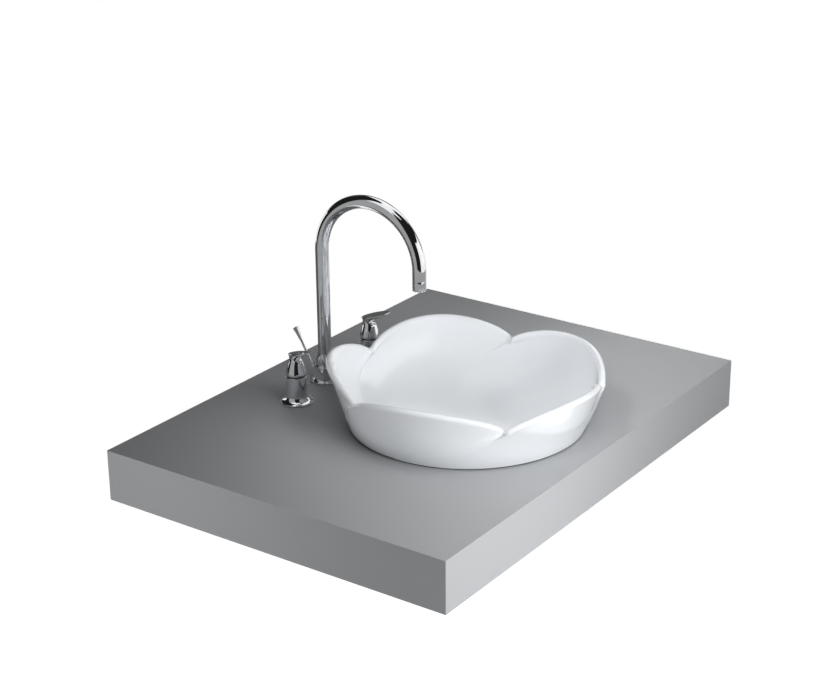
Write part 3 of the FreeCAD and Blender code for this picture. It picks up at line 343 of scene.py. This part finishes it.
# %% [markdown]
# ## Bowl
# The bowl's rim is five petals that lap one over the next, so its shape is a rule. Across each petal the
# rim swells outwards and upwards. Where two petals meet, one stands proud of the other, in a step that is
# crisp at the rim and melts into the wall below it. Geometry Nodes can hold the rule itself. A flat grid is
# wrapped round the drain: its long way runs round the petals, and its short way runs up the outside, over
# the rim, down the inside, across the floor and back under the bowl. A small class lets the nodes be
# written as the formulas they are.


# %% Formulas in a node tree
class Field:
    """A number that varies over a mesh, held by a socket of a node tree."""

    def __init__(self, tree, socket):
        self.tree, self.socket = tree, socket

    def apply(self, operation, *others):
        """The value after a maths operation with numbers or other fields."""
        values = [value.socket if isinstance(value, Field) else value for value in (self, *others)]
        return Field(self.tree, maths(self.tree, operation, *values))

    def __add__(self, other):
        return self.apply("ADD", other)

    def __sub__(self, other):
        return self.apply("SUBTRACT", other)

    def __mul__(self, other):
        return self.apply("MULTIPLY", other)

    def __truediv__(self, other):
        return self.apply("DIVIDE", other)

    def __pow__(self, other):
        return self.apply("MAXIMUM", 0.0).apply("POWER", other)

    def __rsub__(self, other):
        return self * -1 + other

    __radd__ = __add__
    __rmul__ = __mul__

    def sin(self):
        return self.apply("SINE")

    def cos(self):
        return self.apply("COSINE")

    def between(self, low, high):
        """How far the value has gone from low to high, held to 0 and 1."""
        return ((self - low) / (high - low)).apply("MAXIMUM", 0.0).apply("MINIMUM", 1.0)

    def past(self, limit):
        """1 where the value is beyond a limit and 0 elsewhere."""
        return self.apply("GREATER_THAN", limit)


# %% The bowl's node tree
BOWL_SIZES = {
    "Petals": 5.0, "Turn": math.radians(265.2), "Notch radius": 196 * MM, "Notch height": 141.5 * MM,
    "Petal bulge": 11.3 * MM, "Petal rise": 31.8 * MM, "Petal crown": 0.64, "Petal lap": 4.4 * MM,
    "Lap width": math.radians(0.7), "Lap softening": 24.0, "Petal fade": 48 / 90, "Rim lean": 6.4 * MM,
    "Lean angle": math.radians(160.8), "Rim radius": 5.5 * MM, "Inner easing": 3 * MM,
    "Foot radius": 181 * MM, "Foot height": 82 * MM, "Outer twist": math.radians(23),
    "Inner twist": math.radians(36), "Floor height": 30 * MM, "Floor radius": 45 * MM,
    "Floor thickness": 12 * MM, "Curve": 1.25, "Hip swell": 3.2 * MM, "Drain radius": 22.455 * MM,
}
BOWL_COLUMNS = 5 * 72
STRETCHES = 8
ROWS_PER_STRETCH = 24
ROUND_OFF = 1e-4
LAP_OVER_RIM, LAP_INSIDE, LAP_FADE = 0.07, 1.8, 1.3
OUTER_TWIST_FADE, INNER_TWIST_FADE, PETAL_FADE = 0.75, 2.0, 2.0
WELD = 2e-6


def bowl_tree():
    """A grid wrapped into the bowl; each stretch of rows is one part of its section."""
    tree = bpy.data.node_groups.new("petal bowl", "GeometryNodeTree")
    for name in BOWL_SIZES:
        tree.interface.new_socket(name, in_out="INPUT", socket_type="NodeSocketFloat")
    tree.interface.new_socket("Glaze", in_out="INPUT", socket_type="NodeSocketMaterial")
    tree.interface.new_socket("Geometry", in_out="OUTPUT", socket_type="NodeSocketGeometry")
    given = add(tree, "NodeGroupInput")
    size = {name: Field(tree, given.outputs[name]) for name in BOWL_SIZES}
    grid = add(tree, "GeometryNodeMeshGrid", Size_X=1.0, Size_Y=1.0, Vertices_X=BOWL_COLUMNS + 1,
               Vertices_Y=STRETCHES * ROWS_PER_STRETCH + 1)
    spot = add(tree, "ShaderNodeSeparateXYZ", Vector=add(tree, "GeometryNodeInputPosition").outputs[0])
    round_way = (Field(tree, spot.outputs["X"]) + 0.5) * size["Petals"]
    row = (Field(tree, spot.outputs["Y"]) + 0.5) * STRETCHES

    # Across a petal: share runs from 1 at its clockwise end to -1 at the other
    petal = (round_way + ROUND_OFF).apply("FLOOR")
    share = ((round_way - petal) * math.pi).cos()
    half = size["Petals"] ** -1.0 * math.pi
    angle = size["Turn"] + petal * (2 * half) - half * share
    arch = (share * (math.pi / 2)).cos()
    radius = size["Notch radius"] + size["Petal bulge"] * arch
    rim = size["Rim radius"]
    level = size["Notch height"] + size["Petal rise"] * arch ** size["Petal crown"] - rim
    level = level + size["Rim lean"] * (angle - size["Lean angle"]).cos()

    # Up the section: each stretch goes from 0 to 1 in turn
    outer, over, inner, floor, drain, under, hip, ledge = (row.between(n, n + 1) for n in range(STRETCHES))

    # At its ends a petal laps its neighbours: a step at the rim that softens and fades away from it
    from_rim = (1 - outer + over * LAP_OVER_RIM + inner * LAP_INSIDE).apply("MINIMUM", 1.0)
    from_notch = half * (1 - share.apply("ABSOLUTE"))
    ramp = from_notch.between(0.0, size["Lap width"] * (1 + size["Lap softening"] * from_rim))
    lap = size["Petal lap"] * share * ramp * ramp * (3 - 2 * ramp) * (1 - from_rim) ** LAP_FADE
    ease = size["Inner easing"]
    roll = over * math.pi
    outer_radius = size["Foot radius"] + (radius + lap + rim - size["Foot radius"]) * outer
    outer_radius = outer_radius + rim * (roll.cos() - 1)
    outer_height = size["Foot height"] + (level - size["Foot height"]) * outer + rim * roll.sin()
    outer_height = outer_height - ease * (1 - roll.sin()) * over.past(0.5)

    # Down the inside the petals fade into a plain round bowl
    round_radius = size["Notch radius"] + size["Petal bulge"] / 2 - rim
    round_level = size["Notch height"] + size["Petal rise"] / 2 - rim
    sweep = inner * (math.pi / 2)
    span = sweep.cos() ** size["Curve"]
    fade = (1 - inner / size["Petal fade"]) ** PETAL_FADE
    wide = round_radius + (radius + lap - rim - round_radius) * fade
    high = round_level + (level - ease - round_level) * fade
    inner_radius = size["Floor radius"] + (wide - size["Floor radius"]) * span
    inner_radius = inner_radius + (size["Drain radius"] - size["Floor radius"]) * (floor - under)
    inner_height = high - (high - size["Floor height"]) * sweep.sin() - size["Floor thickness"] * drain

    # Below the counter the wall is turned
    hip_top = round_level
    hip_foot = size["Floor height"] - size["Floor thickness"]
    hip_span = round_radius - size["Floor radius"] + size["Hip swell"]
    start = ((hip_top - size["Foot height"]) / (hip_top - hip_foot)).apply("ARCSINE")
    hip_sweep = (math.pi / 2) + (start - math.pi / 2) * hip
    hip_radius = size["Floor radius"] + hip_span * hip_sweep.cos() ** size["Curve"]
    hip_radius = hip_radius + (size["Foot radius"] - hip_radius) * ledge
    hip_height = hip_top - (hip_top - hip_foot) * hip_sweep.sin()

    inside, below = row.past(2.0), row.past(6.0)
    wall_radius = outer_radius + (inner_radius - outer_radius) * inside
    wall_radius = wall_radius + (hip_radius - wall_radius) * below
    height = outer_height + (inner_height - outer_height) * inside
    height = height + (hip_height - height) * below
    outer_twist = size["Outer twist"] * (1 - outer) ** OUTER_TWIST_FADE
    inner_twist = size["Inner twist"] * (1 - (1 - inner) ** INNER_TWIST_FADE)
    hip_twist = (size["Inner twist"] + size["Outer twist"]) * hip
    bearing = angle + (outer_twist * -1 + inner_twist - hip_twist)
    place = add(tree, "ShaderNodeCombineXYZ", X=(wall_radius * bearing.cos()).socket,
                Y=(wall_radius * bearing.sin()).socket, Z=height.socket)
    wrapped = add(tree, "GeometryNodeSetPosition", Geometry=grid.outputs["Mesh"], Position=place.outputs[0])
    closed = add(tree, "GeometryNodeMergeByDistance", Geometry=wrapped.outputs[0], Distance=WELD)
    smooth = add(tree, "GeometryNodeSetShadeSmooth", Geometry=closed.outputs[0])
    real = add(tree, "GeometryNodeRealizeInstances", Geometry=smooth.outputs[0])
    glazed = add(tree, "GeometryNodeSetMaterial", Geometry=real.outputs[0], Material=given.outputs["Glaze"])
    add(tree, "NodeGroupOutput", Geometry=glazed.outputs[0])
    return tree


# %% Plain pieces from node trees
SHARP_EDGE = math.radians(50)


def plain_piece(name, holder, at=(0, 0, 0)):
    """Turn an object with a node modifier into a plain mesh whose place is in its points."""
    scene.collection.objects.link(holder)
    seen = holder.evaluated_get(bpy.context.evaluated_depsgraph_get())
    mesh = bpy.data.meshes.new_from_object(seen)
    bpy.data.objects.remove(holder)
    mesh.transform(Matrix.Translation(at))
    mesh.name = name
    piece = bpy.data.objects.new(name, mesh)
    scene.collection.objects.link(piece)
    return piece


def dress(piece, body, slot, *nodes):
    """Hang a piece on its body and hide the CAD nodes that it stands for. Its slot is not used."""
    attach(piece, body)
    if nodes:
        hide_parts(*nodes)
    print("%-18s %6d faces on %s" % (piece.name, len(piece.data.polygons), body))


def set_inputs(modifier, values):
    """Set a node modifier's inputs through their identifiers."""
    for socket in modifier.node_group.interface.items_tree:
        if socket.in_out == "INPUT" and socket.name in values:
            modifier[socket.identifier] = values[socket.name]


# %% Make the bowl
holder = bpy.data.objects.new("bowl_rule", bpy.data.meshes.new("bowl_rule"))
rule = holder.modifiers.new("petals", "NODES")
rule.node_group = bowl_tree()
set_inputs(rule, {**BOWL_SIZES, "Glaze": FINISHES["white_china"]})
bowl = plain_piece("petal_bowl", holder, (FIXTURE_X, BOWL_Y, 0))
bowl.data.set_sharp_from_angle(angle=SHARP_EDGE)
dress(bowl, "base", "white_china", "basin_bowl")

# %% [markdown]
# ## Turned metal
# Flanges, sleeves, collars and the plug are lathe work, so each is a profile spun about its axis. CAD's
# corners are dead sharp, but polished metal always has a rounded edge, and that edge is what catches the
# light. The profile's corners are therefore rounded before it is spun.


# %% Lathe
SPIN_STEPS = 96
FILLET_STEPS = 5
SMALLEST = 1e-6


def rounded(profile):
    """Points of a closed profile in millimetres, with a fillet at each corner that gives a radius."""
    points = []
    count = len(profile)
    for index, corner in enumerate(profile):
        here = Vector(corner[:2])
        fillet = corner[2] if len(corner) > 2 else 0
        if not fillet:
            points.append(here)
            continue
        before = Vector(profile[index - 1][:2]) - here
        after = Vector(profile[(index + 1) % count][:2]) - here
        half = before.angle(after) / 2
        reach = min(fillet / math.tan(half), before.length * 0.49, after.length * 0.49)
        start, end = here + before.normalized() * reach, here + after.normalized() * reach
        for step in range(FILLET_STEPS + 1):
            share = step / FILLET_STEPS
            points.append(start * (1 - share) ** 2 + here * 2 * share * (1 - share) + end * share ** 2)
    return points


def curved(start, end, sagitta, steps=10):
    """Points of a shallow curve from start to end that bows to its left by the sagitta."""
    start, end = Vector(start), Vector(end)
    side = Vector((start.y - end.y, end.x - start.x)).normalized()
    points = []
    for step in range(1, steps):
        share = step / steps
        points.append(tuple(start.lerp(end, share) + side * sagitta * 4 * share * (1 - share)))
    return points


def mesh_piece(name, points, faces, material, sharp=40):
    """An object from points in metres and faces, merged, closed and with its faces outwards."""
    mesh = bpy.data.meshes.new(name)
    mesh.from_pydata(points, [], faces)
    work = bmesh.new()
    work.from_mesh(mesh)
    bmesh.ops.remove_doubles(work, verts=work.verts, dist=SMALLEST)
    bmesh.ops.recalc_face_normals(work, faces=work.faces)
    work.to_mesh(mesh)
    work.free()
    mesh.materials.append(material)
    mesh.shade_smooth()
    mesh.set_sharp_from_angle(angle=math.radians(sharp))
    piece = bpy.data.objects.new(name, mesh)
    scene.collection.objects.link(piece)
    return piece


def turned(name, profile, place, slot):
    """Spin a closed profile of (radius, height, fillet) in millimetres about an axis of a matrix."""
    line = rounded(profile)
    points, faces = [], []
    for step in range(SPIN_STEPS):
        angle = 2 * math.pi * step / SPIN_STEPS
        for radius, height in line:
            spot = Vector((radius * math.cos(angle), radius * math.sin(angle), height)) * MM
            points.append(place @ spot)
    count = len(line)
    for step in range(SPIN_STEPS):
        here, there = step * count, (step + 1) % SPIN_STEPS * count
        for low in range(count):
            high = (low + 1) % count
            if line[low].x < SMALLEST and line[high].x < SMALLEST:
                continue
            faces.append((here + low, there + low, there + high, here + high))
    return mesh_piece(name, points, faces, FINISHES[slot])


def standing(x, y, z):
    """An upright axis at a point."""
    return Matrix.Translation((x, y, z))


# %% Valve escutcheons and their glide rings
# Each corner of a profile is its radius, its height and its fillet, if any, in millimetres
BELL_TOP = 43
BELL = [(18.35, 0), (25.2, 0, 0.4), (25.2, 2, 0.9), *curved((25.2, 2), (16.5, 10), 1.93),
        (16.5, 10, 3), (16.5, BELL_TOP, 0.9), (14.3, BELL_TOP, 0.3), (14.3, 3.35), (18.35, 3.35)]
GLIDE = [(7.5, 0), (15.2, 0, 0.3), (15.2, 1.5, 0.3), (7.5, 1.5)]
VALVES = {"hot": FIXTURE_X - VALVE_OFFSET, "cold": FIXTURE_X + VALVE_OFFSET}
for side, x in VALVES.items():
    bell = turned(side + "_bell", BELL, standing(x, VALVE_Y, DECK), "chrome")
    dress(bell, "base", "chrome", side + "_escutcheon")
    glide = turned(side + "_glide", GLIDE, standing(x, VALVE_Y, DECK + BELL_TOP * MM), "dark_plastic")
    dress(glide, "base", "dark_plastic", side + "_glide_ring")

# %% Spout base, collar and plug
BASE_TOP = 26
FLANGE_FOOT = 11.5
PLUG_FOOT = 35
BASE = [(0, 0), (26, 0, 0.4), (26, 2, 0.6), (19.5, 2, 0.8), (19.5, BASE_TOP, 1.0), (9.35, BASE_TOP, 0.4),
        (9.35, 12), (0, 12)]
COLLAR = [(13.35, 0), (16, 0, 0.5), (14.5, 16, 0.6), (13.4, 16.01), (13.4, 18, 0.7), (10.85, 18, 0.4),
          (10.85, 1.35), (13.35, 1.35)]
base = turned("spout_foot", BASE, standing(FIXTURE_X, SPOUT_Y, DECK), "chrome")
dress(base, "base", "chrome", "spout_base")
collar = turned("spout_neck_ring", COLLAR, standing(FIXTURE_X, SPOUT_Y, DECK + BASE_TOP * MM), "chrome")
dress(collar, "base", "chrome", "spout_collar")
FLANGE = [(15.5, 0), (18.3, 0, 0.4), (18.3, 20), (32, 20, 0.4), (32, 22, 0.9), (30, 23, 1.5), (20, 23, 1.2),
          (15.5, 18, 0.8)]
flange = turned("waste_rim", FLANGE, standing(FIXTURE_X, BOWL_Y, FLANGE_FOOT * MM), "chrome")
dress(flange, "base", "chrome", "waste_flange")
CAP = [(0, 0), (27, 0, 0.4), (27, 1.4, 0.7), *curved((27, 1.4), (0, 5.4), -1.0, 20), (0, 5.4)]
cap = turned("plug_dome", CAP, standing(FIXTURE_X, BOWL_Y, PLUG_FOOT * MM), "chrome")
dress(cap, "plug", "chrome", "plug_cap")

# %% [markdown]
# ## Spout
# The spout is one tube bent over a former: straight up, half a circle, and a short drop to the aerator. It
# could be a curve with a bevel, but a node tree that sweeps a ring along any curve does the same and keeps
# the ring's size as an input, so the same tree can draw any tube.

# %% Tube tree
TUBE_SIDES = 64


def tube_tree():
    """Sweep a ring along a curve, with caps at both ends."""
    tree = bpy.data.node_groups.new("bent tube", "GeometryNodeTree")
    tree.interface.new_socket("Path", in_out="INPUT", socket_type="NodeSocketGeometry")
    tree.interface.new_socket("Radius", in_out="INPUT", socket_type="NodeSocketFloat")
    tree.interface.new_socket("Finish", in_out="INPUT", socket_type="NodeSocketMaterial")
    tree.interface.new_socket("Geometry", in_out="OUTPUT", socket_type="NodeSocketGeometry")
    given = add(tree, "NodeGroupInput")
    ring = add(tree, "GeometryNodeCurvePrimitiveCircle", Resolution=TUBE_SIDES,
               Radius=given.outputs["Radius"])
    skin = add(tree, "GeometryNodeCurveToMesh", Curve=given.outputs["Path"],
               Profile_Curve=ring.outputs["Curve"])
    skin.inputs["Fill Caps"].default_value = True
    smooth = add(tree, "GeometryNodeSetShadeSmooth", Geometry=skin.outputs[0])
    real = add(tree, "GeometryNodeRealizeInstances", Geometry=smooth.outputs[0])
    done = add(tree, "GeometryNodeSetMaterial", Geometry=real.outputs[0], Material=given.outputs["Finish"])
    add(tree, "NodeGroupOutput", Geometry=done.outputs[0])
    return tree


# %% Bend the spout
TUBE_FOOT, SPRING, ARCH, DROP_END = 108.35 * MM, 298 * MM, 92 * MM, 285 * MM
TUBE_RADIUS = 10.5 * MM
BEND_STEPS = 64
path = [(FIXTURE_X, SPOUT_Y, TUBE_FOOT), (FIXTURE_X, SPOUT_Y, (TUBE_FOOT + SPRING) / 2)]
for step in range(BEND_STEPS + 1):
    turn = math.pi * step / BEND_STEPS
    path.append((FIXTURE_X, SPOUT_Y - ARCH + ARCH * math.cos(turn), SPRING + ARCH * math.sin(turn)))
path.append((FIXTURE_X, SPOUT_Y - 2 * ARCH, DROP_END))
curve = bpy.data.curves.new("spout_path", "CURVE")
curve.dimensions = "3D"
line = curve.splines.new("POLY")
line.points.add(len(path) - 1)
for point, spot in zip(line.points, path):
    point.co = (*spot, 1)
holder = bpy.data.objects.new("spout_path", curve)
sweep = holder.modifiers.new("tube", "NODES")
sweep.node_group = tube_tree()
set_inputs(sweep, {"Radius": TUBE_RADIUS, "Finish": FINISHES["chrome"]})
spout = plain_piece("spout_bend", holder)
spout.data.set_sharp_from_angle(angle=SHARP_EDGE)
dress(spout, "spout", "chrome", "spout_tube")

# %% Aerator
SPOUT_TIP = 268 * MM
AERATOR = [(8.9, 0), (9.7, 0, 0.4), (10.5, 0.8, 0.5), (10.5, 16.4, 0.3), (10.0, 16.6), (10.0, 17),
           (8.95, 17), (8.95, 23), (7.4, 23), (7.4, 17), (8.9, 17)]
aerator = turned("aerator_sleeve", AERATOR, standing(FIXTURE_X, SPOUT_Y - 2 * ARCH, SPOUT_TIP), "chrome")
dress(aerator, "spout", "chrome", "aerator_housing")

# %% [markdown]
# ## Levers
# Each handle is a domed cap under a flat beak. It is one loft: rings of points rise from the cap's foot,
# close in over the dome to a neck, and then grow, slowly at first, into a long oval that is tipped up
# towards the beak's point. Each ring is an ellipse with its own centre, height, tilt and half-widths.

# %% Lofted handles
RING_POINTS = 96
LEVER_SPLAY = math.radians(18)
CAP_FOOT, SHOULDER, NECK, LEVER_TOP = 44.85, 64.2, 71, 84
CAP_RADIUS, SHOULDER_RADIUS = 15.8, 11.4
SOCKET_TOP, SOCKET_RADIUS = 61.35, 4.05
NECK_AT, NECK_LONG, NECK_WIDE = -3.2, 7.8, 8.5
BEAK_AT, BEAK_TILT, BEAK_LONG, BEAK_WIDE = 10.5, 15.0, 24.5, 13.5
BEAK_STEPS, BEAK_SCOOP = 10, 1.5
BEAK_EDGE = [(2.2, 0.1), (1.7, 0), (0.6, 0), (0.2, 0.3), (0, 1), (0.3, 2.4), (0.6, 7), (0.7, 11.9)]
POINT = 0.01

rings = [(0, SOCKET_TOP, 0, POINT, POINT), (0, SOCKET_TOP, 0, SOCKET_RADIUS, SOCKET_RADIUS)]
rings += [(0, CAP_FOOT, 0, 4.1, 4.1), (0, CAP_FOOT, 0, 15, 15), (0, CAP_FOOT + 0.2, 0, 15.5, 15.5),
          (0, CAP_FOOT + 0.8, 0, CAP_RADIUS, CAP_RADIUS)]
rings += [(0, height, 0, radius, radius)
          for radius, height in curved((CAP_RADIUS, CAP_FOOT + 2), (SHOULDER_RADIUS, SHOULDER), -0.5, 12)]
rings += [(0, SHOULDER, 0, SHOULDER_RADIUS, SHOULDER_RADIUS), (0, 65.5, 0, 10.9, 10.9),
          (-0.15, 66.6, 0, 10.5, 10.4), (-0.45, 67.7, 0, 10.1, 10.0), (-0.9, 68.7, 0, 9.7, 9.6),
          (-1.5, 69.6, 0, 9.2, 9.2), (-2.3, 70.4, 0, 8.6, 8.8)]
edge_sink, edge_trim = BEAK_EDGE[0]
for step in range(BEAK_STEPS):
    rise = step / BEAK_STEPS
    growth = rise ** BEAK_SCOOP
    rings.append((NECK_AT + (BEAK_AT - NECK_AT) * growth,
                  NECK + (LEVER_TOP - edge_sink - NECK) * rise,
                  BEAK_TILT * growth,
                  NECK_LONG + (BEAK_LONG - edge_trim - NECK_LONG) * growth,
                  NECK_WIDE + (BEAK_WIDE - edge_trim - NECK_WIDE) * growth))
for sink, trim in BEAK_EDGE:
    half_length = BEAK_LONG - trim * 2 + min(trim, 1)
    rings.append((BEAK_AT, LEVER_TOP - sink, BEAK_TILT, half_length, BEAK_WIDE - trim))
rings.append((BEAK_AT, LEVER_TOP - BEAK_EDGE[-1][0], BEAK_TILT, POINT, POINT))


def lofted(name, rings, place, slot):
    """Skin a stack of tilted ellipses, given as centre, height, tilt in degrees and half-widths."""
    points, faces = [], []
    for centre, height, tilt, long, wide in rings:
        tip = Matrix.Rotation(math.radians(-tilt), 4, "Y")
        for step in range(RING_POINTS):
            angle = 2 * math.pi * step / RING_POINTS
            edge = tip @ Vector((long * math.cos(angle), wide * math.sin(angle), 0))
            points.append(place @ ((Vector((centre, 0, height)) + edge) * MM))
    for ring in range(len(rings) - 1):
        for step in range(RING_POINTS):
            beside = (step + 1) % RING_POINTS
            low, high = ring * RING_POINTS, (ring + 1) * RING_POINTS
            faces.append((low + step, low + beside, high + beside, high + step))
    return mesh_piece(name, points, faces, FINISHES[slot], sharp=60)


for side, x in VALVES.items():
    heading = math.radians(270) + (LEVER_SPLAY if side == "cold" else -LEVER_SPLAY)
    place = standing(x, VALVE_Y, DECK) @ Matrix.Rotation(heading, 4, "Z")
    lever = lofted(side + "_beak", rings, place, "chrome")
    dress(lever, side + "_lever", "chrome", side + "_handle")

# %% [markdown]
# ## Lift rod
# Behind the spout a thin rod works the plug. It leans back from the base, so its pieces are turned about a
# leaning axis: the same lathe, with a tilted matrix in place of an upright one.

# %% Rod and knob
LIFT_TILT = math.radians(29)
LIFT_SETBACK = 15.7 * MM
ROD_RADIUS, ROD_FOOT, ROD_TOP = 2, -95, 79.5
KNOB_FOOT, KNOB_EDGE, KNOB_TOP = 65.5, 86.7, 87.5
KNOB_NECK, KNOB_RADIUS, KNOB_BORE = 2.35, 5, 2.05
BORE_TOP = 79.55
leaning = standing(FIXTURE_X, SPOUT_Y + LIFT_SETBACK, COUNTER_TOP) @ Matrix.Rotation(-LIFT_TILT, 4, "X")
ROD = [(0, ROD_FOOT), (ROD_RADIUS, ROD_FOOT, 0.4), (ROD_RADIUS, ROD_TOP, 0.4), (0, ROD_TOP)]
KNOB = [(KNOB_BORE, KNOB_FOOT), (KNOB_NECK, KNOB_FOOT, 0.2),
        *curved((KNOB_NECK, KNOB_FOOT), (KNOB_RADIUS, KNOB_EDGE), 0.3), (KNOB_RADIUS, KNOB_EDGE, 0.5),
        (0, KNOB_TOP), (0, BORE_TOP), (KNOB_BORE, BORE_TOP)]
rod = turned("lift_bar", ROD, leaning, "chrome")
dress(rod, "lift", "chrome", "lift_rod")
knob = turned("lift_button", KNOB, leaning, "chrome")
dress(knob, "lift", "chrome", "lift_knob")
